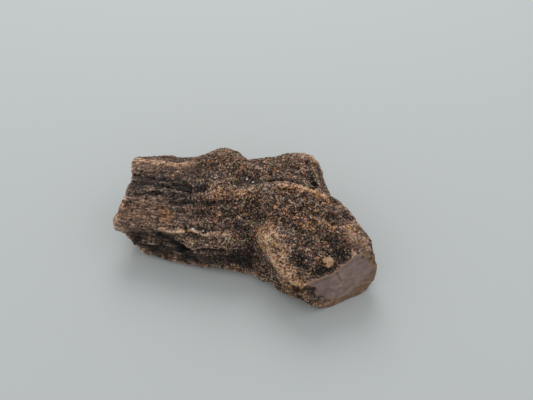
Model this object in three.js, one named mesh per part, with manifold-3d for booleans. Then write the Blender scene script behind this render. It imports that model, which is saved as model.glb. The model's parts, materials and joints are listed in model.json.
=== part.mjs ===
// A piece of petrified wood: a short length of trunk with the stump of one branch.
// Wood turned to stone is a single solid, so the model is one closed body. It lies on its worn
// underside. The trunk runs along X. The branch leaves its front towards +X and -Y, and a saw
// cut left its end flat. Millimetres, +Z up, origin under the middle of the bounding box.
// The stations, strokes and cuts are drawn at about full size, and then the whole stone is scaled to
// its length.

import * as THREE from "three";
import { mergeVertices } from "three/addons/utils/BufferGeometryUtils.js";
import { ImprovedNoise } from "three/addons/math/ImprovedNoise.js";
import Module from "manifold-3d";

const STONE_LENGTH = 121;

// How finely the skin is divided, about one vertex every 2.5 mm
const TRUNK_AROUND = 50;
const TRUNK_ALONG = 42;
const BRANCH_AROUND = 44;
const BRANCH_ALONG = 22;
const CAP_RINGS = 6;
const WELD_DISTANCE = 1e-4;

// Each station is one cross-section, seen along the limb from its start: where its centre is, how far
// the skin lies to the left, right, above and below it, how boxy it is (2 is an ellipse), and how much
// its upper half rises to the left.
const TRUNK = [
  { x: -54, y: 17, z: 18, left: 19, right: 17, up: 16, down: 13, boxy: 2.8, tilt: 0 },
  { x: -45, y: 17, z: 17, left: 20, right: 21, up: 17, down: 17, boxy: 2.9, tilt: 0 },
  { x: -32, y: 17, z: 17, left: 19, right: 24, up: 17, down: 18.5, boxy: 2.9, tilt: 0 },
  { x: -20, y: 17, z: 17, left: 20, right: 26, up: 19, down: 18.5, boxy: 2.8, tilt: 0 },
  { x: -10, y: 17, z: 17, left: 23, right: 28, up: 22, down: 18, boxy: 2.7, tilt: 0 },
  { x: 2, y: 17, z: 17, left: 18, right: 28, up: 18, down: 18, boxy: 2.6, tilt: 0 },
  { x: 14, y: 19, z: 17, left: 18, right: 24, up: 16, down: 18, boxy: 2.6, tilt: 0.05 },
  { x: 26, y: 20, z: 17, left: 19, right: 17, up: 15.5, down: 18.5, boxy: 2.8, tilt: 0.15 },
  { x: 39.2, y: 21, z: 16, left: 15, right: 13, up: 14, down: 14, boxy: 2.8, tilt: 0.2 },
];
const BRANCH = [
  { x: 6, y: 20, z: 17, left: 16, right: 18, up: 17, down: 16, boxy: 2.3, tilt: 0 },
  { x: 17, y: 7, z: 17, left: 20, right: 22, up: 19, down: 17.5, boxy: 2.4, tilt: 0.1 },
  { x: 28, y: -6, z: 16, left: 21, right: 22, up: 17, down: 17.5, boxy: 2.4, tilt: 0.15 },
  { x: 38, y: -19, z: 15, left: 21, right: 20, up: 12.6, down: 16, boxy: 2.3, tilt: 0.35 },
  { x: 48, y: -32, z: 13, left: 15.5, right: 16, up: 9.4, down: 14, boxy: 2.4, tilt: 0.6 },
];

// How the trunk's two broken ends lean: mm of X for each mm of Y and of Z, fading out this far in
const LEFT_BREAK = { perY: 0.05, perZ: 0, fade: 24 };
const RIGHT_BREAK = { perY: -0.1, perZ: -0.42, fade: 14 };

// The saw cut: a point on it, and which way it faces
const CUT_POINT = new THREE.Vector3(43.5, -28.4, 12);
const CUT_HEADING = THREE.MathUtils.degToRad(-64.5);
const CUT_LEAN = THREE.MathUtils.degToRad(8.6);

// Broad lumps in the skin: about how far they move it, how long they are, and the steps between the
// three places in the noise that give the move along X, Y and Z
const LUMP_HEIGHT = 1.2;
const LUMP_LENGTH = 10;
const LUMP_STEP = 17.3;

// The block that cuts with one of its faces is larger than the stone every way
const BLOCK_SIZE = 300;
const UP = new THREE.Vector3(0, 0, 1);

// Strokes shape the skin as a sculptor's thumb would: near the line through these points, closer
// than reach, the skin moves by the vector push.
const STROKES = [
  // The tip at the left end, and the notch behind it
  { along: [[-57, 2, 21]], reach: 15, push: [-6, -1, 0] },
  { along: [[-58, 18, 30], [-46, 15, 34]], reach: 8, push: [1.5, 0, -2] },
  // The shoulder above the lip along the front of the trunk
  { along: [[-54, 0, 31], [-32, -3, 29], [-8, -6, 31], [4, -6, 31]], reach: 14, push: [0, 0.5, -3.5] },
  // The lip, with its knob, the undercut below and the foot
  { along: [[-58, -1, 21], [-42, -4, 19], [-28, -7, 18], [-8, -10, 19]], reach: 6, push: [0, -1, 0] },
  { along: [[-26, -9, 16], [-8, -11, 15]], reach: 8, push: [0, -2, -0.5] },
  { along: [[-48, -4, 11], [-30, -7, 10]], reach: 9, push: [0, 4, 0] },
  { along: [[-40, -5, 3], [-25, -7, 2], [4, -11, 2]], reach: 14, push: [0, -7.5, -2] },
  // The near shoulder of the branch, up to the saw cut
  { along: [[16, -17, 24], [24, -26, 21], [32, -37, 16]], reach: 13, push: [-1.5, -1, 4.6] },
  // The foot of the branch on its near side
  { along: [[4, -12, 4], [12, -20, 4], [18, -28, 6]], reach: 11, push: [-3, -3, -2] },
  // The hollows under the stone, between the patches it lies on
  { along: [[-20, 8, 0], [-6, 22, 0]], reach: 14, push: [0, 0, 2.5] },
  { along: [[8, 10, 0], [24, -4, 0]], reach: 12, push: [0, 0, 2] },
  // The crest of the branch, and the groove between it and the broken end behind it
  { along: [[6, 8, 36], [25, 8, 35], [37, 5, 32], [46, 0, 29]], reach: 7, push: [0.5, 0.5, 1.5] },
  { along: [[0, 15, 35], [16, 15.5, 34], [33, 13, 31]], reach: 8, push: [0, 0, -2] },
];

const point = (p) => new THREE.Vector3(...p);
const noise = new ImprovedNoise();
const wasm = await Module();
wasm.setup();

// Reads a station list at a place counted in stations, smoothly in between.
function stationReader(stations) {
  const rows = stations.flatMap((s) => [s.x, s.y, s.z, s.left, s.right, s.up, s.down, s.boxy, s.tilt]);
  const size = rows.length / stations.length;
  const line = new THREE.CubicInterpolant(stations.map((s, i) => i), rows, size);
  return (place) => {
    const [x, y, z, left, right, up, down, boxy, tilt] = line.evaluate(place);
    return { centre: new THREE.Vector3(x, y, z), left, right, up, down, boxy, tilt };
  };
}

// The level direction square to the limb at a place, to the left.
function leftward(read, place, last) {
  const step = 0.05;
  const behind = read(Math.max(0, place - step)).centre;
  const ahead = read(Math.min(last, place + step)).centre;
  return new THREE.Vector3(behind.y - ahead.y, ahead.x - behind.x, 0).normalize();
}

// The offset of the skin from a section's centre, in the direction angle, as (to the left, up).
function outline(section, angle) {
  const across = Math.cos(angle);
  const rise = Math.sin(angle);
  const halfWidth = across > 0 ? section.left : section.right;
  const halfHeight = rise > 0 ? section.up : section.down;
  const n = section.boxy;
  const reach = (Math.abs(across / halfWidth) ** n + Math.abs(rise / halfHeight) ** n) ** (-1 / n);
  return [across * reach, rise * reach];
}

// Only the positions of a geometry, with the vertices that lie together merged.
function welded(geometry) {
  const bare = new THREE.BufferGeometry();
  bare.setAttribute("position", geometry.getAttribute("position"));
  bare.setIndex(geometry.index);
  return mergeVertices(bare, WELD_DISTANCE);
}

// A closed drum of radius 1 and height 1 whose flat ends carry rings of their own.
function unitDrum(around, along) {
  const profile = [];
  for (let i = 0; i < CAP_RINGS; i++) profile.push(new THREE.Vector2(i / CAP_RINGS, 0));
  for (let i = 0; i <= along; i++) profile.push(new THREE.Vector2(1, i / along));
  for (let i = CAP_RINGS - 1; i >= 0; i--) profile.push(new THREE.Vector2(i / CAP_RINGS, 1));
  const drum = new THREE.LatheGeometry(profile, around);
  return welded(drum);
}

// Stretches a unit drum over a list of stations.
function limb(stations, around, along) {
  const read = stationReader(stations);
  const drum = unitDrum(around, along);
  const skin = drum.getAttribute("position");
  const last = stations.length - 1;
  for (let i = 0; i < skin.count; i++) {
    const radius = Math.min(1, Math.hypot(skin.getX(i), skin.getZ(i)));
    const place = skin.getY(i) * last;
    const section = read(place);
    const [across, rise] = outline(section, Math.atan2(skin.getZ(i), -skin.getX(i)));
    const tilted = rise + section.tilt * across * Math.max(0, rise / section.up);
    const spot = section.centre.addScaledVector(leftward(read, place, last), across * radius);
    skin.setXYZ(i, spot.x, spot.y, spot.z + tilted * radius);
  }
  return drum;
}

// Moves every vertex by what change(vertex) gives.
function move(geometry, change) {
  const skin = geometry.getAttribute("position");
  const vertex = new THREE.Vector3();
  for (let i = 0; i < skin.count; i++) {
    vertex.fromBufferAttribute(skin, i);
    vertex.add(change(vertex));
    skin.setXYZ(i, vertex.x, vertex.y, vertex.z);
  }
  return geometry;
}

// A soft bell: 1 at the middle and 0 at the reach and beyond.
function bell(distance, reach) {
  const t = Math.min(1, distance / reach);
  return (1 - t * t) ** 2;
}

// How far the strokes move a vertex.
function strokePush(vertex) {
  const total = new THREE.Vector3();
  for (const { along, reach, push } of STROKES) {
    const line = along.length > 1 ? along : [along[0], along[0]];
    let nearest = Infinity;
    for (let i = 1; i < line.length; i++) {
      const segment = new THREE.Line3(point(line[i - 1]), point(line[i]));
      const foot = segment.closestPointToPoint(vertex, true, new THREE.Vector3());
      nearest = Math.min(nearest, foot.distanceTo(vertex));
    }
    total.addScaledVector(point(push), bell(nearest, reach));
  }
  return total;
}

// How far the lumps move a vertex.
function lumpPush(vertex) {
  const at = vertex.clone().divideScalar(LUMP_LENGTH);
  return new THREE.Vector3(
    noise.noise(at.x, at.y, at.z),
    noise.noise(at.x + LUMP_STEP, at.y, at.z),
    noise.noise(at.x, at.y + LUMP_STEP, at.z),
  ).multiplyScalar(LUMP_HEIGHT);
}

// Leans the broken ends of the trunk, less and less towards its middle.
function breakPush(vertex) {
  const first = TRUNK[0];
  const last = TRUNK[TRUNK.length - 1];
  let shift = 0;
  for (const [end, lean, inwards] of [[first, LEFT_BREAK, 1], [last, RIGHT_BREAK, -1]]) {
    const depth = (vertex.x - end.x) * inwards;
    const share = 1 - THREE.MathUtils.smoothstep(depth, 0, lean.fade);
    shift += ((vertex.y - end.y) * lean.perY + (vertex.z - end.z) * lean.perZ) * share;
  }
  return new THREE.Vector3(shift, 0, 0);
}

// A closed geometry as a solid for cutting and joining.
function solidOf(geometry) {
  const skin = welded(geometry);
  return new wasm.Manifold(new wasm.Mesh({
    numProp: 3,
    vertProperties: new Float32Array(skin.getAttribute("position").array),
    triVerts: new Uint32Array(skin.index.array),
  }));
}

// A solid as a geometry again.
function geometryOf(solid) {
  const mesh = solid.getMesh();
  const geometry = new THREE.BufferGeometry();
  geometry.setAttribute("position", new THREE.BufferAttribute(mesh.vertProperties, 3));
  geometry.setIndex(new THREE.BufferAttribute(mesh.triVerts, 1));
  return geometry;
}

// A block that starts at a plane and covers everything on the side the plane faces.
function blockBeyond(at, facing) {
  const block = new THREE.BoxGeometry(BLOCK_SIZE, BLOCK_SIZE, BLOCK_SIZE);
  block.translate(0, 0, BLOCK_SIZE / 2);
  block.applyQuaternion(new THREE.Quaternion().setFromUnitVectors(UP, facing));
  return solidOf(block.translate(at.x, at.y, at.z));
}

const trunk = move(limb(TRUNK, TRUNK_AROUND, TRUNK_ALONG), breakPush);
const branch = limb(BRANCH, BRANCH_AROUND, BRANCH_ALONG);
const joined = solidOf(trunk).add(solidOf(branch));
const sculpted = move(move(geometryOf(joined), strokePush), lumpPush);

const cutFacing = new THREE.Vector3(
  Math.cos(CUT_LEAN) * Math.cos(CUT_HEADING),
  Math.cos(CUT_LEAN) * Math.sin(CUT_HEADING),
  Math.sin(CUT_LEAN),
);
const ground = new THREE.Vector3(0, 0, 0);
const stone = solidOf(sculpted)
  .subtract(blockBeyond(CUT_POINT, cutFacing))
  .subtract(blockBeyond(ground, UP.clone().negate()));

// The origin goes under the middle of the bounding box, on the plane the stone lies on.
const shape = geometryOf(stone);
shape.computeBoundingBox();
const box = shape.boundingBox;
const middle = box.getCenter(new THREE.Vector3());
shape.translate(-middle.x, -middle.y, -box.min.z);
const scale = STONE_LENGTH / (box.max.x - box.min.x);
shape.scale(scale, scale, scale);
shape.computeVertexNormals();

const rind = new THREE.MeshStandardMaterial({ color: 0x5a4536, roughness: 0.85, metalness: 0 });
const petrifiedWood = new THREE.Mesh(shape, rind);
petrifiedWood.name = "petrified_wood";

const group = new THREE.Group();
group.add(petrifiedWood);
export default group;
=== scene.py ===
# %% [markdown]
# # A piece of petrified wood
# The object is one stone: a short length of tree trunk with the stump of a branch, turned to rock grain
# by grain. The imported model gives its size and its large shape as one closed body with coarse flat
# faces. This lesson lays a fine skin over that body, carves the ridges and hollows that the photograph
# shows, roughens it with crumbs and fibres, saws the end off, and colours it all with one procedural
# finish.

# %% [markdown]
# ## The fixed frame
# The imported model is loaded first, and it is never moved or changed. Blender works in metres, but
# lengths below are written in millimetres, which suit a stone this small.

# %% Load the fixed frame
import json
import math
from collections import namedtuple

import bmesh
import bpy
import numpy as np
from mathutils import Matrix, Vector, noise
from mathutils.bvhtree import BVHTree
from mathutils.kdtree import KDTree

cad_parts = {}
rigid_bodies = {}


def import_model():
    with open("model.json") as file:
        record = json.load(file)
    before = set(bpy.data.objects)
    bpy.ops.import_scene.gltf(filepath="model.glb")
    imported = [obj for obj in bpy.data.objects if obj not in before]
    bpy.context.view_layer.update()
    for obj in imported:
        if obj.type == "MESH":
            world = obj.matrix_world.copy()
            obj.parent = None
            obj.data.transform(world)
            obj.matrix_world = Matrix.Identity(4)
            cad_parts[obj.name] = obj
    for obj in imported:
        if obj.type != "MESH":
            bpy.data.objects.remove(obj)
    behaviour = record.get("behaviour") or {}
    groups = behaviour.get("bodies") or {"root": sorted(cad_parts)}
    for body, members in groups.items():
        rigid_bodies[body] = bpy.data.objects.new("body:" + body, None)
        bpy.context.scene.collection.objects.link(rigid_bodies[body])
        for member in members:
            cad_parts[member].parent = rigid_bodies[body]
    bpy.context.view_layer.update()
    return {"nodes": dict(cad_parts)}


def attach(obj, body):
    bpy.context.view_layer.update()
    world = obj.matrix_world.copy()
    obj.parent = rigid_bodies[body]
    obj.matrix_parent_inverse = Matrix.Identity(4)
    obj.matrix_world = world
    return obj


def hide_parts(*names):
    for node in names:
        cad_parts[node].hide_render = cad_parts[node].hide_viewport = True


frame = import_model()
STONE = "petrified_wood"
MM = 0.001

# %% [markdown]
# ## The camera
# The stone was photographed from about 50 degrees above the table, square to the trunk. The camera
# comes first because some features below are placed by the pixel where the photograph shows them: a ray
# goes from the camera through that pixel, and the feature is made where the ray meets the stone, so it
# sits on the surface from every side.

# %% Camera
PHOTO_WIDTH, PHOTO_HEIGHT = 533, 400
LENS_MM, SENSOR_MM = 45, 36
ELEVATION = math.radians(50)
CAMERA_DISTANCE = 322.3 * MM
AIM = Vector((10.5, 14.8, 17.1)) * MM


def add_object(name, data):
    """A new object in the scene."""
    made = bpy.data.objects.new(name, data)
    bpy.context.scene.collection.objects.link(made)
    return made


camera_data = bpy.data.cameras.new("camera")
camera_data.lens = LENS_MM
camera_data.sensor_width = SENSOR_MM
camera_data.clip_start = 10 * MM
camera = add_object("camera", camera_data)
bpy.context.scene.camera = camera
camera_back = Vector((0, -math.cos(ELEVATION), math.sin(ELEVATION)))
camera.location = AIM + camera_back * CAMERA_DISTANCE
camera.rotation_euler = (-camera_back).to_track_quat("-Z", "Y").to_euler()
camera_turn = camera.rotation_euler.to_matrix()


def pixel_ray(pixel):
    """The direction from the camera through a pixel of the photograph."""
    spread = SENSOR_MM / LENS_MM / PHOTO_WIDTH
    across = (pixel[0] - PHOTO_WIDTH / 2) * spread
    up = (PHOTO_HEIGHT / 2 - pixel[1]) * spread
    return (camera_turn @ Vector((across, up, -1))).normalized()


print("camera at", [round(v / MM) for v in camera.location], "mm")

# %% [markdown]
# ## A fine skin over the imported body
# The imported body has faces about 2.5 mm wide, far coarser than the rind. A skin with half-millimetre
# faces is needed to carry the crumbs as real shape. Smoothing and averaging over so many vertices is
# slow one by one, so the points are handled as whole arrays, with these helpers.

# %% Mesh helpers
def read_points(mesh):
    """The vertices of a mesh as rows of millimetres."""
    points = np.empty(len(mesh.vertices) * 3, np.float32)
    mesh.vertices.foreach_get("co", points)
    return points.reshape(-1, 3).astype(float) / MM


def write_points(mesh, points):
    """Puts the vertices of a mesh at rows of millimetres."""
    mesh.vertices.foreach_set("co", (points * MM).astype(np.float32).ravel())
    mesh.update()


def read_normals(mesh):
    """Which way each vertex of a mesh faces."""
    normals = np.empty(len(mesh.vertices) * 3, np.float32)
    mesh.vertex_normals.foreach_get("vector", normals)
    return normals.reshape(-1, 3).astype(float)


class Net:
    """The edges of a mesh, for averaging over neighbours."""

    SHRINK, GROW_BACK = 0.5, -0.52

    def __init__(self, mesh):
        edges = np.empty(len(mesh.edges) * 2, np.int32)
        mesh.edges.foreach_get("vertices", edges)
        pairs = edges.reshape(-1, 2)
        self.count = len(mesh.vertices)
        self.here = np.concatenate([pairs[:, 0], pairs[:, 1]])
        self.there = np.concatenate([pairs[:, 1], pairs[:, 0]])
        self.degree = np.bincount(self.here, minlength=self.count)

    def average(self, values):
        """The mean of each vertex's neighbours."""
        columns = values.reshape(self.count, -1).T
        sums = [np.bincount(self.here, c[self.there], self.count) / self.degree for c in columns]
        return np.stack(sums, 1).reshape(values.shape)

    def blur(self, values, steps):
        """Values averaged over a place that grows with the steps."""
        for _ in range(steps):
            values = (values + self.average(values)) / 2
        return values

    def smooth(self, points, steps):
        """Smooths without shrinking."""
        for _ in range(steps):
            for share in (self.SHRINK, self.GROW_BACK):
                points = points + share * (self.average(points) - points)
        return points


def modified(mesh, kind, settings):
    """A mesh with one modifier applied."""
    holder = add_object("holder", mesh)
    modifier = holder.modifiers.new(kind, kind)
    for name, value in settings.items():
        setattr(modifier, name, value)
    changed = holder.evaluated_get(bpy.context.evaluated_depsgraph_get())
    result = bpy.data.meshes.new_from_object(changed)
    bpy.data.objects.remove(holder)
    return result


print("packed body:", len(frame["nodes"][STONE].data.polygons), "faces")

# %% [markdown]
# Voxel remeshing lays an even net of small squares over the body. That net follows the old flat faces,
# so it is then smoothed. Plain smoothing would shrink the stone, so each smoothing step is followed by
# a slightly stronger step the other way, which keeps the volume.
#
# The sawn face has to end up flat with a crisp rim. Its vertices are pulled 3 mm outwards before the
# remesh, so that the smoothing rounds only spare stone, which a saw takes off again later.

# %% Fine skin
VOXEL_MM = 0.53
SMOOTH_STEPS = 100
SAW_HEADING = math.radians(-64.5)
SAW_LEAN = math.radians(8.6)
SPARE_MM = 3.0
FLAT_TOLERANCE_MM = 0.02

saw_facing = np.array((
    math.cos(SAW_LEAN) * math.cos(SAW_HEADING),
    math.cos(SAW_LEAN) * math.sin(SAW_HEADING),
    math.sin(SAW_LEAN),
))
body_mesh = frame["nodes"][STONE].data.copy()
points = read_points(body_mesh)
saw_depth = points @ saw_facing
saw_place = np.median(saw_depth[saw_depth > saw_depth.max() - FLAT_TOLERANCE_MM])
on_saw = saw_depth > saw_place - FLAT_TOLERANCE_MM
points[on_saw] += saw_facing * SPARE_MM
write_points(body_mesh, points)

skin = modified(body_mesh, "REMESH", {"mode": "VOXEL", "voxel_size": VOXEL_MM * MM})
net = Net(skin)
smooth_points = net.smooth(read_points(skin), SMOOTH_STEPS)
write_points(skin, smooth_points)
print("fine skin:", len(skin.vertices), "vertices, saw plane at", round(float(saw_place), 2), "mm")

# %% [markdown]
# ## Features carved by strokes
# A sculptor would now draw the ridges, ledges and grooves that the photograph shows. Here each one is a
# stroke: a line of photograph pixels laid on the stone, how far to either side it reaches, and how far
# it lifts the skin. A negative lift carves.

# %% The list of strokes
Stroke = namedtuple("Stroke", "pixels reach_mm lift_mm")
STROKES = {
    "rim along the back": Stroke([(138, 160), (160, 162), (184, 165)], 2.4, 0.4),
    "upper fibre groove": Stroke([(133, 174), (158, 179), (186, 184)], 1.6, -0.8),
    "middle fibre groove": Stroke([(132, 182), (160, 185), (190, 191)], 1.5, -0.7),
    "lower fibre groove": Stroke([(136, 193), (156, 194), (176, 197)], 1.6, -0.7),
    "boss between the grooves": Stroke([(145, 188), (151, 189)], 2.6, 0.7),
    "hollow in mid trunk": Stroke([(176, 184), (190, 191), (204, 188)], 3.2, -1.4),
    "ridge of mid trunk": Stroke([(208, 196), (228, 192), (252, 193)], 4.0, 1.2),
    "groove below the ridge": Stroke([(172, 204), (192, 202), (208, 203), (230, 201)], 2.0, -0.8),
    "dip above the lip": Stroke([(180, 212), (210, 214), (236, 214)], 4.0, -0.7),
    "lower edge of the tan end": Stroke([(130, 230), (142, 231), (150, 232)], 3.5, -1.2),
    "lip at the left": Stroke([(160, 229), (172, 231), (184, 231)], 1.5, 1.0),
    "lip behind the knob": Stroke([(190, 229), (204, 234), (230, 235)], 1.7, 1.0),
    "knob": Stroke([(192, 240), (214, 241), (232, 241)], 3.4, 1.2),
    "below the lip": Stroke([(159, 235), (168, 237), (178, 240), (184, 244)], 3.0, -2.6),
    "undercut below the knob": Stroke([(184, 248), (206, 250), (224, 251)], 1.9, -2.0),
    "elbow crevice": Stroke([(238, 226), (246, 232)], 3.0, -0.9),
    "left foot": Stroke([(136, 240), (146, 247)], 8.0, 3.1),
    "wall below the tan end": Stroke([(140, 235), (148, 237), (154, 239)], 4.6, 3.2),
    "foot of the front wall": Stroke([(154, 253), (168, 257), (194, 261)], 4.6, -1.3),
    "foot of the elbow": Stroke([(230, 270), (244, 274)], 6.0, 1.1),
    "foot of the shoulder": Stroke([(275, 283), (286, 296)], 4.5, -1.5),
    "back of the hump": Stroke([(234, 150), (246, 157)], 3.6, -1.2),
    "edge of the arm": Stroke([(335, 200), (347, 214)], 4.5, -1.8),
    "line across the stub": Stroke([(283, 166), (297, 168)], 1.8, -0.8),
    "groove behind the crest": Stroke([(270, 181), (288, 181), (300, 184), (313, 188)], 1.9, -2.0),
    "crest of the branch": Stroke([(281, 187), (300, 188), (315, 193), (327, 198)], 2.2, 1.0),
    "rim of the stub's end": Stroke([(307, 157), (310, 166), (312, 176)], 2.4, 0.7),
    "crevice in the stub's end": Stroke([(311, 174), (315, 184)], 2.8, -1.3),
    "far edge of the stub's end": Stroke([(316, 162), (321, 172)], 3.4, 1.2),
    "side of the stub's end": Stroke([(326, 184), (330, 190)], 4.5, -2.0),
    "corner of the stub": Stroke([(304, 158), (311, 161)], 4.5, 1.8),
    "dent on the arm, left": Stroke([(291, 211), (302, 208)], 2.8, -1.1),
    "dent on the arm, right": Stroke([(316, 214), (328, 216), (338, 217)], 3.0, -1.2),
    "hollow inside the flank": Stroke([(296, 256), (306, 270), (318, 274)], 4.6, -1.2),
    "chip": Stroke([(326, 260), (331, 261), (329, 265)], 2.4, 1.2),
    "hollow beyond the chip": Stroke([(338, 254), (346, 260)], 3.6, -1.0),
    "corner beside the saw": Stroke([(354, 230), (363, 241)], 8.0, 1.9),
    "right rim": Stroke([(375, 248), (377, 257)], 4.0, -1.0),
    "notch in the right rim": Stroke([(376, 261)], 2.8, -2.6),
    "shoulder ridge": Stroke([(262, 236), (271, 254), (281, 271), (293, 281)], 3.2, 0.8),
}
print("strokes:", len(STROKES), "of which", sum(s.lift_mm < 0 for s in STROKES.values()), "carve")

# %% [markdown]
# To lay a stroke on the stone, a ray is cast through each of its pixels. A pixel on the stone's outline
# can just miss it, so then the nearest place along the ray is taken, if it is close. The skin moves
# along its own normals, most in the middle of the stroke and not at all at its reach, as a thumb would
# press clay.

# %% Carve the strokes
def pressed(points):
    """Points held inside the saw's plane and above the table."""
    past_saw = np.maximum(points @ saw_facing - saw_place, 0)
    points = points - past_saw[:, None] * saw_facing
    points[:, 2] = np.maximum(points[:, 2], 0)
    return points


def surface_of(mesh, points):
    """A mesh with its vertices at these points, made ready for casting rays at."""
    return BVHTree.FromPolygons([Vector(p) for p in points], [tuple(f.vertices) for f in mesh.polygons])


BEYOND_EDGE_MM = 2.0
RAY_NEAR_MM, RAY_FAR_MM = 260, 400
surface = surface_of(skin, pressed(smooth_points))
camera_mm = camera.location / MM


def on_stone(pixel):
    """The point of the stone, in mm, that a pixel shows, or the nearest one if the pixel just misses."""
    ray = pixel_ray(pixel)
    hit = surface.ray_cast(camera_mm, ray)[0]
    if hit is None:
        steps = [surface.find_nearest(camera_mm + ray * far) for far in range(RAY_NEAR_MM, RAY_FAR_MM)]
        hit, _, _, distance = min(steps, key=lambda step: step[3])
        if distance > BEYOND_EDGE_MM:
            raise ValueError(f"pixel {pixel} is not on the stone")
    return np.array(hit)


def distance_to_line(points, line):
    """How far each point is from a line through several points, or from a single one."""
    nearest = np.linalg.norm(points - line[0], axis=1)
    for a, b in zip(line[:-1], line[1:]):
        step = b - a
        share = np.clip((points - a) @ step / (step @ step), 0, 1)
        foot = a + share[:, None] * step
        nearest = np.minimum(nearest, np.linalg.norm(points - foot, axis=1))
    return nearest


def bell(distance, reach):
    """1 in the middle of a stroke, 0 at its reach and beyond."""
    return (1 - np.minimum(distance / reach, 1) ** 2) ** 2


def stroke_weight(points, stroke):
    """The weight of a stroke at each point."""
    line = [on_stone(p) for p in stroke.pixels]
    return bell(distance_to_line(points, line), stroke.reach_mm)


normals = read_normals(skin)
points = smooth_points
for stroke in STROKES.values():
    lift = stroke.lift_mm * stroke_weight(smooth_points, stroke)
    points = points + normals * lift[:, None]
write_points(skin, points)
print("carved", len(STROKES), "strokes")

# %% [markdown]
# ## The two grains of the wood
# Petrified wood keeps the grain of the tree. The skin is fibrous along the trunk and crumbly on the
# branch. The grain of the branch runs another way than the grain of the trunk, so noise is worked out
# along both and mixed at the fork.

# %% Noise along the grain
TRUNK_GRAIN = Vector((0.977, -0.21, 0)).normalized()
BRANCH_GRAIN = Vector((0.61, -0.79, -0.08)).normalized()
FORK = np.array((8.0, 0.0))
FORK_BLEND_MM = 9.0
FIBROUS_TO_MM, CRUMBLY_FROM_MM = -36.0, -6.0
FALLOFF, LACUNARITY = 1.0, 2.1
RICH_OCTAVES = 3
BORDER_WIDTH = 0.3


def grain_frame(grain):
    """Rows that turn a point into (along the grain, across it, up)."""
    across = Vector((0, 0, 1)).cross(grain).normalized()
    return np.array((grain, across, grain.cross(across)))


def smoothstep(low, high, values):
    """0 at low, 1 at high, smooth between."""
    t = np.clip((values - low) / (high - low), 0, 1)
    return t * t * (3 - 2 * t)


def lumps(points, along, across, octaves=2):
    """Noise around 0 with lumps of these lengths in mm."""
    rows = points / np.array((along, across, across))
    return np.array([noise.fractal(Vector(r), FALLOFF, LACUNARITY, octaves) for r in rows])


def cell_gaps(points, size):
    """1 inside each cell, 0 on the borders between cells."""
    found = [noise.voronoi(Vector(r))[0] for r in points / size]
    nearest = np.array([f[0] for f in found])
    second = np.array([f[1] for f in found])
    return smoothstep(0.0, BORDER_WIDTH, second - nearest)


def branchness_of(points):
    """0 on the trunk, 1 on the branch."""
    beyond_fork = (points[:, :2] - FORK) @ np.array(BRANCH_GRAIN[:2])
    return smoothstep(-FORK_BLEND_MM, FORK_BLEND_MM, beyond_fork)


def fibrousness_of(points):
    """1 at the left end of the trunk, where the grain is long, and 0 where the skin is crumbly."""
    return 1 - smoothstep(FIBROUS_TO_MM, CRUMBLY_FROM_MM, points[:, 0])


def along_grain(points, along, across, octaves=2):
    """Noise that follows the grain of whichever limb a point is on."""
    trunk = lumps(points @ grain_frame(TRUNK_GRAIN).T, along, across, octaves)
    branch = lumps(points @ grain_frame(BRANCH_GRAIN).T, along, across, octaves)
    return trunk + (branch - trunk) * branchness_of(points)


fibrous = fibrousness_of(points)
print("fibrous skin:", round(100 * float(fibrous.mean())), "percent")

# %% [markdown]
# ## Crumbs, fibres and pits
# The rind is rough at several sizes at once: long ridges and finer fibres along the grain, broad lumps,
# crumbs with gaps between them, a fine roughness, and scattered pits. Each is one kind of noise, and
# they are summed into a height. The crumbs are cells of noise, bent by a finer noise so that their
# edges aren't straight.

# %% Roughen the skin
RIDGE_LENGTH_MM, RIDGE_WIDTH_MM, RIDGE_LIFT_MM = 26, 6.0, 0.5
RIDGE_MIDDLE = 0.3
FIBRE_LENGTH_MM, FIBRE_WIDTH_MM, FIBRE_LIFT_MM = 9, 1.3, 0.2
FIBROUS_EXTRA_MM = 0.2
LUMP_MM, LUMP_LIFT_MM = 5.0, 0.42
BEND_MM, BEND_WIDTH_MM = 0.5, 1.6
BEND_PLACES = (0, 31, 67)
CRUMB_MM, CRUMB_LIFT_MM, CRUMB_MIDDLE = 1.7, 0.34, 0.6
FIBROUS_LESS_MM = 0.16
FINE_MM, FINE_LIFT_MM = 1.1, 0.22
PIT_MM, PIT_DEPTH_MM = 3.2, 0.7
PIT_FROM, PIT_TO = 0.3, 0.8
PITS_PLACE = 50

bend = [lumps(points + place, BEND_WIDTH_MM, BEND_WIDTH_MM, 1) for place in BEND_PLACES]
bend = BEND_MM * np.stack(bend, 1)
ridges = RIDGE_LIFT_MM * (RIDGE_MIDDLE - np.abs(along_grain(points, RIDGE_LENGTH_MM, RIDGE_WIDTH_MM)))
fibre_lift = FIBRE_LIFT_MM + FIBROUS_EXTRA_MM * fibrous
fibres = along_grain(points, FIBRE_LENGTH_MM, FIBRE_WIDTH_MM) * fibre_lift
broad_lumps = LUMP_LIFT_MM * lumps(points, LUMP_MM, LUMP_MM, RICH_OCTAVES)
crumb_lift = CRUMB_LIFT_MM - FIBROUS_LESS_MM * fibrous
crumbs = (cell_gaps(points + bend, CRUMB_MM) - CRUMB_MIDDLE) * crumb_lift
roughness = FINE_LIFT_MM * lumps(points, FINE_MM, FINE_MM)
pits = PIT_DEPTH_MM * smoothstep(PIT_FROM, PIT_TO, lumps(points + PITS_PLACE, PIT_MM, PIT_MM))
relief = ridges + fibres + broad_lumps + crumbs + roughness - pits
points = points + read_normals(skin) * relief[:, None]
points[:, 2] = np.maximum(points[:, 2], 0)
write_points(skin, points)
print("relief from", round(relief.min(), 2), "to", round(relief.max(), 2), "mm")

# %% [markdown]
# ## The saw
# A block that starts at the saw's plane takes off the spare stone. The block's own face carries a grid
# of vertices, and the cut leaves that grid on the sawn face, so that the face can have pits of its own.

# %% Saw the end off
SAW_BLOCK_MM = 60
SAW_GRID = 100
SAW_AIM = np.array((43.8, -30.0, 12.0))


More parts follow.
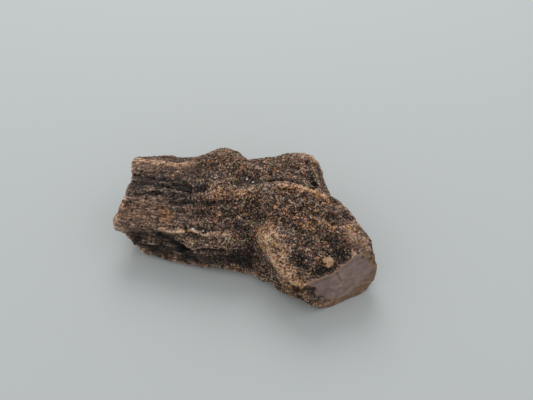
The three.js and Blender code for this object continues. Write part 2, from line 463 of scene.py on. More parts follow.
def saw_block():
    """A block behind the saw's plane, with a grid on its faces."""
    block = bmesh.new()
    bmesh.ops.create_grid(block, x_segments=SAW_GRID, y_segments=SAW_GRID, size=SAW_BLOCK_MM / 2 * MM)
    lifted = bmesh.ops.extrude_face_region(block, geom=block.faces[:])
    top = [v for v in lifted["geom"] if isinstance(v, bmesh.types.BMVert)]
    bmesh.ops.translate(block, verts=top, vec=(0, 0, SAW_BLOCK_MM * MM))
    bmesh.ops.recalc_face_normals(block, faces=block.faces[:])
    aim = SAW_AIM - (SAW_AIM @ saw_facing - saw_place) * saw_facing
    turn = Vector(saw_facing).to_track_quat("Z", "Y").to_matrix().to_4x4()
    block.transform(Matrix.Translation(Vector(aim) * MM) @ turn)
    mesh = bpy.data.meshes.new("saw block")
    block.to_mesh(mesh)
    block.free()
    return add_object("saw block", mesh)


block = saw_block()
skin = modified(skin, "BOOLEAN", {"operation": "DIFFERENCE", "solver": "MANIFOLD", "object": block})
bpy.data.objects.remove(block)
skin.materials.clear()
points = read_points(skin)
net = Net(skin)

saw_distance = np.abs(points @ saw_facing - saw_place)
on_saw = saw_distance < FLAT_TOLERANCE_MM
corners = np.empty(len(skin.loops), np.int32)
skin.loops.foreach_get("vertex_index", corners)
starts = np.empty(len(skin.polygons), np.int32)
skin.polygons.foreach_get("loop_start", starts)
sawn_face = np.logical_and.reduceat(on_saw[corners], starts)
print("sawn face:", int(sawn_face.sum()), "faces")

# %% [markdown]
# The rim isn't whole. A piece has broken out at its left corner, and small chips are missing at the
# right. These are strokes again, but they push along the saw's facing, so the rest of the face stays
# flat. A faint ripple leaves shallow hollows, as in rock that was cut and not polished.

# %% Chips in the sawn face
RIPPLE_MM, RIPPLE_WIDTH_MM = 0.12, 2.6
RIPPLE_FROM, RIPPLE_TO = 0.1, 0.9
SAW_STROKES = {
    "broken corner": Stroke([(297, 289), (306, 290), (313, 292)], 3.2, -1.5),
    "rind below the broken corner": Stroke([(302, 298), (311, 302)], 2.6, -0.5),
    "notch in the right rim": Stroke([(374, 262)], 2.0, -1.6),
    "chip in the right rim": Stroke([(372, 248), (373, 254)], 2.0, -1.2),
    "pit, left": Stroke([(363, 258)], 1.3, -1.1),
    "pit, right": Stroke([(371, 259)], 1.3, -1.0),
    "pit, lower": Stroke([(318, 301)], 1.4, -1.1),
    "crack along the lower rim": Stroke([(323, 303), (330, 301)], 1.1, -0.9),
    "crack across the cut": Stroke([(337, 273), (341, 281)], 0.9, -0.5),
}
surface = surface_of(skin, points)
for stroke in SAW_STROKES.values():
    lift = stroke.lift_mm * stroke_weight(points, stroke)
    points = points + saw_facing * lift[:, None]
ripple = smoothstep(RIPPLE_FROM, RIPPLE_TO, lumps(points, RIPPLE_WIDTH_MM, RIPPLE_WIDTH_MM))
ripple = np.where(on_saw, RIPPLE_MM * ripple, 0)
points = points - saw_facing * ripple[:, None]
write_points(skin, points)
broken_away = saw_place - (points @ saw_facing)[on_saw].min()
print("deepest break in the sawn face:", round(float(broken_away), 1), "mm")

# %% [markdown]
# ## What the finish needs to know about each place
# The finish is procedural, but it can't tell a hollow from a ridge or the trunk from the branch. So
# each vertex keeps a few numbers for it: how deep it lies in small gaps and in broad hollows, how much
# it belongs to the branch, and how far it is from the rim of the sawn face. Each face keeps whether it
# is sawn.

# %% Numbers for the finish
FAR_MM = 9.0
GAP_STEPS = 6
HOLLOW_STEPS = 150


def store(name, values, domain="POINT"):
    """Keeps one number per vertex, or per face, for the material to read."""
    attribute = skin.attributes.new(name, "FLOAT", domain)
    attribute.data.foreach_set("value", values.astype(np.float32))


def depth_below(steps):
    """How far each vertex lies below the skin averaged over this many steps, in mm."""
    return ((net.blur(points, steps) - points) * read_normals(skin)).sum(1)


def distance_from_rim():
    """How far each vertex of the sawn face is from its rim, in mm."""
    corner_is_sawn = np.repeat(sawn_face, np.diff(np.append(starts, len(corners))))
    beside_rind = np.zeros(len(points), bool)
    beside_rind[corners[~corner_is_sawn]] = True
    rim = np.nonzero(on_saw & beside_rind)[0]
    tree = KDTree(len(rim))
    for i in rim:
        tree.insert(points[i], int(i))
    tree.balance()
    distance = np.full(len(points), FAR_MM)
    for i in np.nonzero(on_saw)[0]:
        distance[i] = tree.find(points[i])[2]
    return distance


# The depth in gaps and hollows darkens the colour: partly the stone's dark stain, partly painted shade.
gap = depth_below(GAP_STEPS)
hollow = depth_below(HOLLOW_STEPS)
store("gap", gap)
store("hollow", hollow)
store("branch", branchness_of(points))
store("fibrous", fibrousness_of(points))
store("from_rim", distance_from_rim())
store("sawn", sawn_face.astype(float), "FACE")
print("gap", [round(float(v), 2) for v in np.percentile(gap, (5, 50, 95))], "mm")
print("hollow", [round(float(v), 2) for v in np.percentile(hollow, (5, 50, 95))], "mm")

# %% [markdown]
# ## Zones of colour
# The stone isn't one brown. Its near edges and the left end are tan, the hollows are almost black, and
# a reddish ridge runs over the middle. The hollows, grooves and crevices, and the front wall below the lip,
# are darkened further as painted shade, on top of the stone's own dark colour there. Each zone is again a
# stroke of photograph pixels, and the zones are summed into a tone, from dark to pale, and a redness.

# %% The list of zones
Zone = namedtuple("Zone", "pixels reach_mm paler redder")
ZONES = {
    "pale rim along the back": Zone([(140, 161), (160, 163), (186, 164)], 3.4, 0.23, 0.5),
    "dark edge behind the pale rim": Zone([(160, 157), (176, 158)], 1.6, -0.16, 0.4),
    "edge of the hump": Zone([(196, 155), (214, 149), (234, 150)], 2.6, 0.14, 0.3),
    "dark top left": Zone([(140, 172), (156, 176), (176, 176)], 6.0, -0.09, 0.1),
    "dark band of mid trunk": Zone([(132, 185), (160, 186), (190, 190)], 6.5, -0.25, -0.5),
    "dark top": Zone([(188, 174), (214, 176), (240, 176)], 7.0, -0.13, 0.0),
    "dark centre": Zone([(174, 200), (190, 196), (202, 188)], 7.0, -0.06, -0.3),
    "dark spot by the ridge": Zone([(198, 190), (206, 187)], 3.0, -0.2, -0.3),
    "ridge of mid trunk": Zone([(210, 197), (228, 193), (254, 194)], 5.0, 0.03, 0.8),
    "reddish patch of the left end": Zone([(162, 208), (168, 217)], 3.4, 0.04, 0.8),
    "dark below the ridge": Zone([(206, 208), (228, 210), (250, 216)], 7.0, -0.04, 0.0),
    "tan left end": Zone([(122, 210), (146, 214), (166, 216)], 9.0, 0.10, 0.35),
    "lip, left": Zone([(162, 231), (172, 232), (180, 231)], 1.3, 0.12, 0.0),
    "lip": Zone([(178, 232), (192, 231), (206, 234), (230, 234)], 1.6, 0.26, 0.4),
    "knob": Zone([(192, 241), (214, 242), (232, 241)], 4.0, 0.0, 0.1),
    # painted shade: the hollow under the lip, the front wall and the left foot below it are darkened, on
    # top of the stone's dark colour
    "hollow left of the knob": Zone([(158, 235), (170, 239), (182, 246)], 4.2, -0.55, -0.5),
    "front wall": Zone([(186, 254), (220, 257), (250, 262)], 7.0, -0.3, -0.2),
    "left foot": Zone([(138, 240), (150, 246), (166, 252)], 6.0, -0.30, 0.0),
    "reddish foot": Zone([(162, 254), (174, 257)], 2.6, 0.16, 0.9),
    # painted shade in the crevice at the elbow
    "elbow": Zone([(239, 226), (246, 236)], 4.0, -0.12, -0.3),
    "stub": Zone([(268, 164), (296, 168)], 7.0, -0.03, 0.1),
    # painted shade: the groove behind the crest is darkened where the crest shades it
    "groove behind the crest": Zone([(272, 180), (288, 180), (300, 183), (313, 187)], 1.7, -0.4, 0.0),
    "line of the crest": Zone([(281, 184), (296, 186), (312, 190), (326, 197), (338, 207)], 1.6, 0.18, 0.6),
    "crest of the branch": Zone([(281, 190), (300, 190), (315, 195), (329, 201)], 4.0, 0.02, 0.7),
    "arm": Zone([(276, 214), (300, 216), (324, 224), (338, 234)], 9.0, -0.12, 0.5),
    "far side of the arm": Zone([(322, 220), (336, 232), (350, 236)], 6.0, 0.16, 0.0),
    "tan shoulder": Zone([(264, 230), (273, 250), (284, 266), (297, 281)], 9.0, 0.26, 0.6),
    "dark of the arm": Zone([(298, 258), (312, 276), (322, 274)], 7.0, -0.3, 0.0),
    "dark beyond the chip": Zone([(332, 240), (342, 252), (346, 260)], 6.0, -0.23, -0.1),
    "pale patch": Zone([(306, 226), (312, 228)], 3.6, 0.26, 0.6),
    "smooth rind by the saw": Zone([(352, 236), (362, 244)], 7.0, 0.12, 0.1),
    "rind along the cut": Zone([(308, 283), (322, 277), (340, 266), (356, 254)], 1.7, 0.2, 0.3),
    "slope below the shoulder": Zone([(266, 252), (276, 268), (287, 284)], 6.0, 0.16, 0.3),
    "hump": Zone([(204, 162), (222, 158), (240, 166)], 8.0, -0.08, 0.5),
    "rim of the stub": Zone([(304, 157), (308, 166)], 2.0, 0.08, 0.0),
    "end of the stub": Zone([(315, 164), (319, 174), (322, 184)], 3.0, -0.12, 0.2),
    # painted shade in the crevice of the stub's end
    "painted shade in the stub's crevice": Zone([(310, 173), (312, 180), (316, 186)], 2.2, -0.2, 0.0),
    "far edge of the stub": Zone([(315, 160), (321, 169), (325, 182)], 1.4, 0.2, 0.2),
    "broken corner": Zone([(296, 289), (306, 290), (314, 292)], 3.4, -0.1, 2.4),
    "dark left of the broken corner": Zone([(295, 290), (303, 291)], 2.4, -0.36, 2.0),
    "rind below the broken corner": Zone([(298, 297), (314, 301)], 3.8, -0.1, 0.4),
    "left of the cut": Zone([(317, 291), (327, 290)], 5.0, -0.18, 0.0),
    "dark of the right rim": Zone([(371, 240), (374, 252), (375, 260)], 1.7, -0.35, 0.8),
    "pink patch of the cut": Zone([(337, 287), (341, 285)], 1.8, 0.2, 0.8),
}
print("zones:", len(ZONES))

# %% [markdown]
# ## Patches and single grains
# Some places differ in kind, not only in tone. Brown stains lie on the sawn face, and parts of it have
# broken away and show crumbs. Chips show fresh pale stone, and some of the rind is worn smooth. Each
# patch has a strength between 0 and 1. A few white and orange grains catch the eye, so they get places
# of their own.

# %% The lists of patches and grains
Patch = namedtuple("Patch", "pixels reach_mm strength")
CUT_STAINS = {
    "lower rim": Patch([(308, 301), (320, 304), (334, 303), (348, 299), (362, 289), (374, 274)], 4.8, 1.0),
    "right rim": Patch([(366, 252), (371, 257), (374, 264)], 3.2, 0.8),
    "beside the left pit": Patch([(361, 262)], 1.6, 0.6),
}
BROKEN_CUT = {
    "broken corner": Patch([(294, 289), (304, 290), (312, 291)], 3.1, 1.0),
    "below the corner": Patch([(298, 294), (307, 298), (317, 303)], 5.2, 1.0),
}
CHIPS = {
    "beside the saw": Patch([(326, 260), (331, 261), (329, 265)], 2.0, 1.0),
    "corner": Patch([(292, 282), (299, 284)], 1.8, 1.0),
    "on the rim": Patch([(306, 285)], 1.4, 0.8),
    "back rim": Patch([(162, 162)], 1.3, 0.8),
}
SMOOTH_PATCHES = {
    "end of the stub": Patch([(314, 161), (319, 172), (322, 184)], 4.2, 0.9),
    "left end": Patch([(160, 205), (168, 216)], 5.0, 0.5),
    "top of the stub": Patch([(298, 158), (308, 162)], 4.5, 0.65),
    "broken corner": Patch([(294, 290), (314, 292)], 3.4, 0.95),
    "far side of the arm": Patch([(334, 210), (346, 222), (354, 234)], 6.0, 0.5),
    "stub": Patch([(268, 162), (290, 167)], 6.0, 0.35),
    "rind along the cut": Patch([(308, 283), (322, 277), (340, 266), (356, 254)], 1.9, 0.6),
    "rind by the saw": Patch([(352, 238), (364, 244)], 6.0, 0.8),
    "front wall": Patch([(190, 256), (220, 258), (250, 263)], 7.0, 0.4),
    "left foot": Patch([(136, 241), (150, 247), (166, 253)], 6.0, 0.5),
    "hollow left of the knob": Patch([(160, 238), (180, 245)], 4.5, 0.6),
}
Grain = namedtuple("Grain", "pixel reach_mm")
WHITE_GRAINS = {
    "top, left": Grain((215, 178), 0.7),
    "top, middle": Grain((247, 179), 0.8),
    "top, right": Grain((253, 182), 0.7),
    "hump": Grain((228, 167), 0.6),
    "back rim": Grain((164, 162), 0.8),
    "lip, left": Grain((193, 229), 0.9),
    "lip, right": Grain((203, 231), 1.0),
}
ORANGE_GRAINS = {
    "trunk, left": Grain((173, 175), 0.9),
    "trunk, middle": Grain((210, 222), 0.8),
    "trunk, right": Grain((220, 212), 0.8),
    "top": Grain((234, 178), 0.9),
    "arm": Grain((275, 207), 1.5),
    "stub": Grain((278, 171), 1.1),
}
print("single grains:", len(WHITE_GRAINS), "white,", len(ORANGE_GRAINS), "orange")

# %% [markdown]
# A zone with a smooth round edge would look painted on. So the distance to each stroke is made ragged
# by noise before it is turned into a weight. The rays still meet the skin as the saw left it, before
# the chips moved it a little.

# %% Zones as numbers on the skin
RAGGED_SHARE, RAGGED_MM = 0.5, 2.2
ragged = 1 + RAGGED_SHARE * lumps(points, RAGGED_MM, RAGGED_MM, RICH_OCTAVES)


def ragged_weight(stroke):
    """The weight of a stroke with a ragged outline."""
    line = [on_stone(p) for p in stroke.pixels]
    return bell(distance_to_line(points, line) * ragged, stroke.reach_mm)


def grain_weight(grain):
    """The weight of one grain, which has a clean outline."""
    return bell(distance_to_line(points, [on_stone(grain.pixel)]), grain.reach_mm)


def strongest(weights):
    """The largest of several weights at each vertex."""
    return np.max(list(weights), 0)


PATCH_KINDS = {"stain": CUT_STAINS, "broken": BROKEN_CUT, "chip": CHIPS, "smooth": SMOOTH_PATCHES}
GRAIN_KINDS = {"white": WHITE_GRAINS, "orange": ORANGE_GRAINS}
tone = sum(zone.paler * ragged_weight(zone) for zone in ZONES.values())
store("redness", sum(zone.redder * ragged_weight(zone) for zone in ZONES.values()))
for kind, patches in PATCH_KINDS.items():
    store(kind, strongest(p.strength * ragged_weight(p) for p in patches.values()))
for kind, grains in GRAIN_KINDS.items():
    store(kind, strongest(grain_weight(g) for g in grains.values()))
print("zone tone from", round(float(tone.min()), 2), "to", round(float(tone.max()), 2))

# %% [markdown]
# The photograph doesn't show the sides that face away from it, so no zone reaches them. They would look
# evenly speckled. There the tone follows long layers along the grain instead, as it would in split
# wood.

# %% The sides that the photograph doesn't show
LAYERS_SHARE, CLOUDS_SHARE = 0.6, 0.6
LAYER_LENGTH_MM, LAYER_WIDTH_MM, CLOUD_MM = 24.0, 4.5, 9.0
LAYERS_PLACE, CLOUDS_PLACE = 90, 20
FACING_STEPS = 20
SEEN_TO, UNSEEN_FROM = -0.1, 0.5

broad_facing = net.blur(read_normals(skin), FACING_STEPS) @ np.array(camera_back)
unseen = smoothstep(SEEN_TO, UNSEEN_FROM, -broad_facing)
layers = along_grain(points + LAYERS_PLACE, LAYER_LENGTH_MM, LAYER_WIDTH_MM, RICH_OCTAVES)
clouds = lumps(points + CLOUDS_PLACE, CLOUD_MM, CLOUD_MM, RICH_OCTAVES)
store("tone", tone + LAYERS_SHARE * unseen * (layers + CLOUDS_SHARE * clouds))
store("unseen", unseen)
print("unseen skin:", round(100 * float(unseen.mean())), "percent")

# %% [markdown]
# ## Shader helpers
# A material is a small machine of nodes. These helpers add a node, set its sockets and link them, so
# that each finish below reads as a recipe.


# %% Node helpers
class Graph:
    """Adds nodes to one tree. A socket named with a space is fed by a word with an underscore."""

    NOISE_MIDDLE = 0.5

    def __init__(self, tree):
        self.tree = tree

    def node(self, kind, settings=None, **sockets):
        made = self.tree.nodes.new(kind)
        for name, value in (settings or {}).items():
            setattr(made, name, value)
        for name, value in sockets.items():
            self.feed(made.inputs[name.replace("_", " ")], value)
        return made

    def feed(self, socket, value):
        if isinstance(value, bpy.types.NodeSocket):
            self.tree.links.new(value, socket)
        else:
            socket.default_value = value

    def math(self, operation, a, b=0.0, clamp=False):
        made = self.tree.nodes.new("ShaderNodeMath")
        made.operation = operation
        made.use_clamp = clamp
        self.feed(made.inputs[0], a)
        self.feed(made.inputs[1], b)
        return made.outputs[0]

    def vector(self, operation, a, b):
        made = self.node("ShaderNodeVectorMath", {"operation": operation})
        self.feed(made.inputs[0], a)
        self.feed(made.inputs["Scale"] if operation == "SCALE" else made.inputs[1], b)
        return made.outputs[0]

    def sum(self, start, *terms):
        """A number plus (factor, value) pairs."""
        total = start
        for factor, value in terms:
            total = self.math("ADD", total, self.math("MULTIPLY", value, factor))
        return total

    def centred(self, noise_value):
        """A noise counted from its middle."""
        return self.math("SUBTRACT", noise_value, self.NOISE_MIDDLE)

    def mix(self, share, a, b, kind="RGBA", blend="MIX"):
        made = self.tree.nodes.new("ShaderNodeMix")
        made.data_type = kind
        if kind == "RGBA":
            made.blend_type = blend
        inputs = [s for s in made.inputs if s.enabled]
        self.feed(inputs[0], share)
        self.feed(inputs[1], a)
        self.feed(inputs[2], b)
        return next(s for s in made.outputs if s.enabled)

    def step(self, value, low, high):
        """0 at low, 1 at high, smooth between."""
        settings = {"interpolation_type": "SMOOTHSTEP"}
        made = self.node("ShaderNodeMapRange", settings, Value=value, From_Min=low, From_Max=high)
        return made.outputs["Result"]

    def ramp(self, value, stops):
        """A colour for a number, from (place, colour) stops."""
        made = self.node("ShaderNodeValToRGB", Fac=value)
        elements = made.color_ramp.elements
        while len(elements) < len(stops):
            elements.new(0.5)
        for element, (place, colour) in zip(elements, stops):
            element.position = place
            element.color = colour
        return made.outputs["Color"]

    def attribute(self, name):
        return self.node("ShaderNodeAttribute", {"attribute_name": name}).outputs["Fac"]


def srgb(red, green, blue):
    """A colour as a picture editor gives it, in the linear numbers that Blender works in."""
    def linear(c):
        c /= 255
        return c / 12.92 if c <= 0.04045 else ((c + 0.055) / 1.055) ** 2.4
    return (linear(red), linear(green), linear(blue), 1.0)


print("middle grey:", round(srgb(128, 128, 128)[0], 3), "in linear numbers")

# %% [markdown]
# An effect that is used more than once is made once, as a node group with named inputs and outputs.
# Blender shows a group as a single node, so a finish that uses it stays readable.

# %% Node group helper
SOCKETS = {"number": "NodeSocketFloat", "vector": "NodeSocketVector", "colour": "NodeSocketColor"}


def new_group(name, inputs, outputs):
    """A shader node group, with sockets from (name, kind, default) and (name, kind)."""
    group = bpy.data.node_groups.new(name, "ShaderNodeTree")
    for socket_name, kind, default in inputs:
        made = group.interface.new_socket(socket_name, in_out="INPUT", socket_type=SOCKETS[kind])
        if default is not None:
            made.default_value = default
    for socket_name, kind in outputs:
        group.interface.new_socket(socket_name, in_out="OUTPUT", socket_type=SOCKETS[kind])
    return group, group.nodes.new("NodeGroupInput").outputs, group.nodes.new("NodeGroupOutput").inputs


print("kinds of group sockets:", ", ".join(SOCKETS))

# %% [markdown]
# ## Crumbs as a node group
# Cell noise gives every crumb a tone and a hue of its own and a gap round it. The cells are bent by a
# finer noise first, because real crumbs aren't straight-edged. The finish uses this group twice, for
# crumbs and for grit.

# %% Group: crumbs
GAP_WIDTH = 0.16
crumbs_group, given, give = new_group(
    "crumbs",
    [("Vector", "vector", None), ("Size", "number", 1.0), ("Wander", "number", 0.6)],
    [("Tone", "number"), ("Hue", "number"), ("Height", "number"), ("Gap", "number")],
)
g = Graph(crumbs_group)
per_size = g.math("DIVIDE", 1.0, given["Size"])
bend = g.node("ShaderNodeTexNoise", Vector=given["Vector"], Scale=per_size, Detail=2.0).outputs["Color"]
bend = g.vector("SUBTRACT", bend, (0.5, 0.5, 0.5))
bend = g.vector("SCALE", bend, g.math("MULTIPLY", given["Wander"], given["Size"]))
bent = g.vector("ADD", given["Vector"], bend)
cell = g.node("ShaderNodeTexVoronoi", Vector=bent, Scale=per_size)
border = g.node("ShaderNodeTexVoronoi", {"feature": "DISTANCE_TO_EDGE"}, Vector=bent, Scale=per_size)
cell_colour = g.node("ShaderNodeSeparateColor", Color=cell.outputs["Color"]).outputs
g.feed(give["Tone"], cell_colour["Red"])
g.feed(give["Hue"], cell_colour["Green"])
g.feed(give["Height"], g.math("SUBTRACT", 1.0, cell.outputs["Distance"], clamp=True))
g.feed(give["Gap"], g.math("SUBTRACT", 1.0, g.step(border.outputs["Distance"], 0.0, GAP_WIDTH)))
print("crumbs group:", len(crumbs_group.nodes), "nodes")

# %% [markdown]
# ## Fibres as a node group
# Fibres are noise that is stretched along the grain. As in the shape, trunk and branch each have their
# own grain, so the noise is made for both directions, and the share of branch mixes them.

# %% Group: fibres
fibres_group, given, give = new_group(
    "fibres",
    [
        ("Vector", "vector", None),
        ("Branch", "number", 0.0),
        ("Length", "number", 9.0),
        ("Width", "number", 0.8),
    ],
    [("Tone", "number")],
)
g = Graph(fibres_group)
directions = []
for grain in (TRUNK_GRAIN, BRANCH_GRAIN):
    turned = g.node("ShaderNodeVectorRotate", {"rotation_type": "Z_AXIS"}, Vector=given["Vector"])
    turned.inputs["Angle"].default_value = -math.atan2(grain.y, grain.x)
    lengths = g.node("ShaderNodeCombineXYZ", X=given["Length"], Y=given["Width"], Z=given["Width"])
    squeezed = g.vector("DIVIDE", turned.outputs[0], lengths.outputs[0])
    strands = g.node("ShaderNodeTexNoise", Vector=squeezed, Scale=1.0, Detail=3.0, Roughness=0.6)
    directions.append(strands.outputs["Fac"])
g.feed(give["Tone"], g.mix(given["Branch"], *directions, "FLOAT"))
print("fibres group:", len(fibres_group.nodes), "nodes")

# %% [markdown]
# ## The noises of the finish
# Everything in the finish is made from a few noises, each for one size of thing: crumbs and grit,
# flecks of under a millimetre, strands along the grain, and broad blotches and mottling. They are read
# in millimetres of the stone itself, so they stay on it wherever it goes.

# %% The noises
Noises = namedtuple("Noises", "crumbs grit strands flecks blotch mottle patches stain")


def noises_of(g):
    """The noises that the finish is made from."""
    place = g.node("ShaderNodeTexCoord").outputs["Object"]
    in_mm = g.vector("SCALE", place, 1 / MM)

    def cloud(scale, detail, roughness=0.5):
        made = g.node("ShaderNodeTexNoise", Vector=in_mm, Scale=scale, Detail=detail, Roughness=roughness)
        return made.outputs["Fac"]

    def grouped(group, **sockets):
        return g.node("ShaderNodeGroup", {"node_tree": group}, Vector=in_mm, **sockets).outputs

    return Noises(
        crumbs=grouped(crumbs_group, Size=0.95, Wander=1.2),
        grit=grouped(crumbs_group, Size=0.5, Wander=1.2),
        strands=grouped(fibres_group, Branch=g.attribute("branch"), Length=4.5, Width=0.5)["Tone"],
        flecks=cloud(1.35, 4.0, 0.75),
        blotch=cloud(0.5, 3.0, 0.6),
        mottle=cloud(0.16, 4.0, 0.6),
        patches=cloud(0.22, 2.0),
        stain=cloud(0.35, 6.0, 0.65),
    )


print("noises:", ", ".join(Noises._fields))

# %% [markdown]
# ## The tone of the rind
# The rind's tone is the sum of its zone, its crumbs, its fibres and its hollows. How deep a place lies in
# gaps and hollows darkens it: partly the stone's own dark stain in its recesses, partly painted shade.
# How coarse the grain looks differs from place to place: less where the stone is fibrous, pale or worn
# smooth. Each pair below is a factor and what it multiplies, and each noise is counted from its middle,
# so that it makes the rind as often paler as darker.

# %% The rind's tone
def rind_tone(g, noises):
    """The tone of the rind, from 0 for nearly black upwards."""
    zone_tone = g.attribute("tone")
    fibrous = g.attribute("fibrous")
    smooth = g.sum(g.attribute("smooth"), (0.35, g.attribute("unseen")))
    coarseness = g.sum(0.72, (1.7, noises.patches), (-0.85, fibrous), (-0.4, zone_tone))
    coarseness = g.math("MULTIPLY", coarseness, g.math("SUBTRACT", 1.0, smooth))
    grain = g.sum(
        0.0,
        (0.26, g.centred(noises.crumbs["Tone"])),
        (0.40, g.centred(noises.grit["Tone"])),
        (1.50, g.centred(noises.flecks)),
        (-0.10, noises.crumbs["Gap"]),
    )
    return g.sum(
        0.635,
        (1.0, zone_tone),
        (1.0, g.math("MULTIPLY", grain, coarseness)),
        (g.sum(0.45, (0.85, fibrous)), g.centred(noises.strands)),
        (0.35, g.centred(noises.mottle)),
        (0.40, g.centred(noises.blotch)),
        # painted shade, with the stone's dark stain: the deeper in gaps and hollows, the darker
        (-0.6, g.attribute("gap")),
        (-0.15, g.attribute("hollow")),
    )


# %% [markdown]
# ## The colour of the rind
# One ramp turns the tone into colours from nearly black to pale tan. Its lower steps are roughly equal
# ratios of brightness, so that a crumb stands out as much in a dark hollow as on a tan edge. Then each
# crumb is tinted a little, to orange or to grey-blue, and each grain of grit to pink or to green. The
# fibrous end varies less in hue. Last come the pale chips and the single grains.

# %% The rind's colour
RAMP_PER_TONE = 0.8
RIND_RAMP = [
    (0.0, srgb(19, 18, 17)),
    (0.2, srgb(40, 35, 31)),
    (0.4, srgb(71, 59, 53)),
    (0.6, srgb(120, 98, 86)),
    (0.8, srgb(186, 154, 132)),
    (1.0, srgb(235, 208, 181)),
]
ORANGE_TINT, BLUE_TINT = srgb(255, 224, 190), srgb(228, 242, 252)
PINK_TINT, GREEN_TINT = srgb(255, 230, 248), srgb(236, 255, 232)
CHIP_RAMP = [(0.3, srgb(172, 130, 98)), (0.7, srgb(236, 190, 150))]
CHIP_SHARE = 0.8
WHITE_GRAIN, ORANGE_GRAIN = srgb(224, 222, 220), srgb(206, 150, 114)
CHIP_EDGE, WHITE_EDGE, ORANGE_EDGE = (0.25, 0.45), (0.2, 0.6), (0.2, 0.7)
HUE_VARIETY, FIBROUS_LESS = 2.6, -1.7


def rind_colour(g, noises):
    """The colour of the rind."""
    colour = g.ramp(g.math("MULTIPLY", rind_tone(g, noises), RAMP_PER_TONE), RIND_RAMP)
    variety = g.sum(HUE_VARIETY, (FIBROUS_LESS, g.attribute("fibrous")))
    warmth = g.sum(g.attribute("redness"), (variety, g.centred(noises.crumbs["Hue"])))
    pinkness = g.math("MULTIPLY", variety, g.centred(noises.grit["Hue"]))
    for amount, above, below in ((warmth, ORANGE_TINT, BLUE_TINT), (pinkness, PINK_TINT, GREEN_TINT)):
        for side, tint in ((1.0, above), (-1.0, below)):
            share = g.math("MULTIPLY", amount, side, clamp=True)
            colour = g.mix(share, colour, tint, blend="MULTIPLY")
    chip_share = g.math("MULTIPLY", g.step(g.attribute("chip"), *CHIP_EDGE), CHIP_SHARE)
    colour = g.mix(chip_share, colour, g.ramp(noises.flecks, CHIP_RAMP))
    colour = g.mix(g.step(g.attribute("white"), *WHITE_EDGE), colour, WHITE_GRAIN)
    return g.mix(g.step(g.attribute("orange"), *ORANGE_EDGE), colour, ORANGE_GRAIN)


print("rind ramp:", len(RIND_RAMP), "steps")

# %% [markdown]
# ## The colour of the sawn face
# Inside, the stone is a fine-grained purplish grey with soft clouds. Brown stains come in from the rim,
# a pale line follows the rim itself, and where the face has broken away it looks like the rind. Its pits
# and cracks are darkened by their depth, which is painted shade.

# %% The sawn face's colour
CUT_RAMP = [
    (0.1, srgb(62, 44, 38)),
    (0.3, srgb(108, 88, 83)),
    (0.5, srgb(130, 108, 102)),
    (0.7, srgb(154, 130, 122)),
]
STAIN_RAMP = [
    (0.3, srgb(86, 64, 50)),
    (0.5, srgb(116, 91, 72)),
    (0.7, srgb(148, 119, 94)),
]
RIM_RAMP = [(0.35, srgb(112, 86, 68)), (0.65, srgb(184, 150, 120))]
RIM_FROM_MM, RIM_TO_MM = 0.6, 1.4
RIM_RAGGED_MM = 2.4
STAIN_EDGE, BROKEN_EDGE = (0.1, 0.5), (0.1, 0.4)


def sawn_colour(g, noises, rind):
    """The colour of the sawn face."""
    # painted shade: the pits and cracks are darker by their depth
    cut_tone = g.sum(noises.stain, (0.5, g.attribute("tone")), (-0.8, g.attribute("gap")))
    from_rim = g.sum(g.attribute("from_rim"), (RIM_RAGGED_MM, g.centred(noises.flecks)))
    rim = g.math("SUBTRACT", 1.0, g.step(from_rim, RIM_FROM_MM, RIM_TO_MM))
    colour = g.mix(rim, g.ramp(cut_tone, CUT_RAMP), g.ramp(noises.flecks, RIM_RAMP))
    colour = g.mix(g.step(g.attribute("stain"), *STAIN_EDGE), colour, g.ramp(cut_tone, STAIN_RAMP))
    return g.mix(g.step(g.attribute("broken"), *BROKEN_EDGE), colour, rind)


print("rim of the sawn face:", RIM_FROM_MM, "to", RIM_TO_MM, "mm wide")

# %% [markdown]
# ## One material
# The rind and the sawn face are one material, because they are one stone: the number kept for each face
# says where the saw went. The sawn face is smoother and shines a little. The shape already holds the
# crumbs down to about a millimetre, and a bump adds only what is finer.

# %% Petrified wood
SPECULAR_LEVEL = 0.2
RIND_ROUGHNESS, SAWN_ROUGHNESS = 0.85, 0.42
BUMP_MM = 0.55
SAWN_BUMP = 0.1


def petrified_wood():
    """The material of the whole stone."""
    material = bpy.data.materials.new("petrified wood")
    material.use_nodes = True
    shader = material.node_tree.nodes["Principled BSDF"]
    shader.inputs["Specular IOR Level"].default_value = SPECULAR_LEVEL
    g = Graph(material.node_tree)
    noises = noises_of(g)
    sawn = g.attribute("sawn")
    rind = rind_colour(g, noises)
    g.feed(shader.inputs["Base Color"], g.mix(sawn, rind, sawn_colour(g, noises, rind)))
    g.feed(shader.inputs["Roughness"], g.mix(sawn, RIND_ROUGHNESS, SAWN_ROUGHNESS, "FLOAT"))
    rind_height = g.sum(
        0.0,
        (0.5, noises.crumbs["Height"]),
        (0.3, noises.grit["Height"]),
        (0.8, noises.flecks),
        (0.5, noises.strands),
    )
    height = g.mix(sawn, rind_height, g.math("MULTIPLY", noises.stain, SAWN_BUMP), "FLOAT")
    bump = g.node("ShaderNodeBump", Strength=1.0, Distance=BUMP_MM * MM, Height=height)
    g.feed(shader.inputs["Normal"], bump.outputs["Normal"])
    return material


stone_material = petrified_wood()
print("petrified wood:", len(stone_material.node_tree.nodes), "nodes")

# %% [markdown]
# ## The stone takes its place
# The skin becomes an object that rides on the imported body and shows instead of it. The rind is shaded
# smooth across its small faces. The sawn face is shaded flat, so that its rim stays crisp.

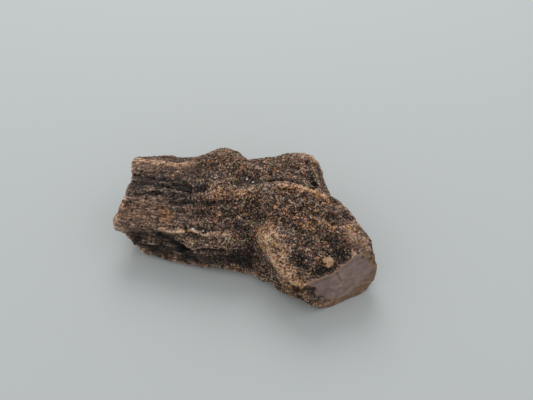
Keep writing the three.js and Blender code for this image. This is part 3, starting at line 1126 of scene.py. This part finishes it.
# %% The stone
stone = add_object("stone", skin)
skin.materials.append(stone_material)
skin.polygons.foreach_set("use_smooth", ~sawn_face)
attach(stone, "root")
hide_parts(STONE)
print("stone:", sum(len(f.vertices) - 2 for f in skin.polygons), "triangles")

# %% [markdown]
# ## The floor
# The stone was photographed on a plain pale sheet, a little blue. The floor here runs on far past the
# edges of the picture.

# %% Floor
FLOOR_SIZE = 3.0
SHEET_COLOUR = srgb(184, 188, 188)
SHEET_ROUGHNESS = 0.9

half = FLOOR_SIZE / 2
floor_corners = [(-half, -half, 0), (half, -half, 0), (half, half, 0), (-half, half, 0)]
floor_mesh = bpy.data.meshes.new("floor")
floor_mesh.from_pydata(floor_corners, [], [(0, 1, 2, 3)])
floor = add_object("floor", floor_mesh)
sheet = bpy.data.materials.new("pale sheet")
sheet.use_nodes = True
sheet_shader = sheet.node_tree.nodes["Principled BSDF"]
sheet_shader.inputs["Base Color"].default_value = SHEET_COLOUR
sheet_shader.inputs["Roughness"].default_value = SHEET_ROUGHNESS
floor_mesh.materials.append(sheet)
print("floor:", FLOOR_SIZE, "m wide")

# %% [markdown]
# ## The light
# The light in the photograph is soft and comes from above and behind: the back edges are bright, the
# front is dark, and the shadow falls softly towards the camera. A pale room gives the even light, and
# one large lamp behind the stone gives the shadow.

# %% Light
ROOM_COLOUR = srgb(250, 252, 252)
ROOM_STRENGTH = 0.8
LAMP_PLACE = Vector((-0.05, 0.7, 0.75))
LAMP_SIZE = 0.6
LAMP_WATTS = 4.0

world = bpy.data.worlds.new("pale room")
world.use_nodes = True
room = world.node_tree.nodes["Background"]
room.inputs["Color"].default_value = ROOM_COLOUR
room.inputs["Strength"].default_value = ROOM_STRENGTH
bpy.context.scene.world = world

lamp_data = bpy.data.lights.new("window behind", "AREA")
lamp_data.shape = "DISK"
lamp_data.size = LAMP_SIZE
lamp_data.energy = LAMP_WATTS
lamp = add_object("window behind", lamp_data)
lamp.location = LAMP_PLACE
lamp.rotation_euler = (-LAMP_PLACE).to_track_quat("-Z", "Y").to_euler()
bpy.context.scene.view_settings.view_transform = "Standard"
print("lamp:", LAMP_WATTS, "W,", round(LAMP_PLACE.length, 2), "m from the stone")
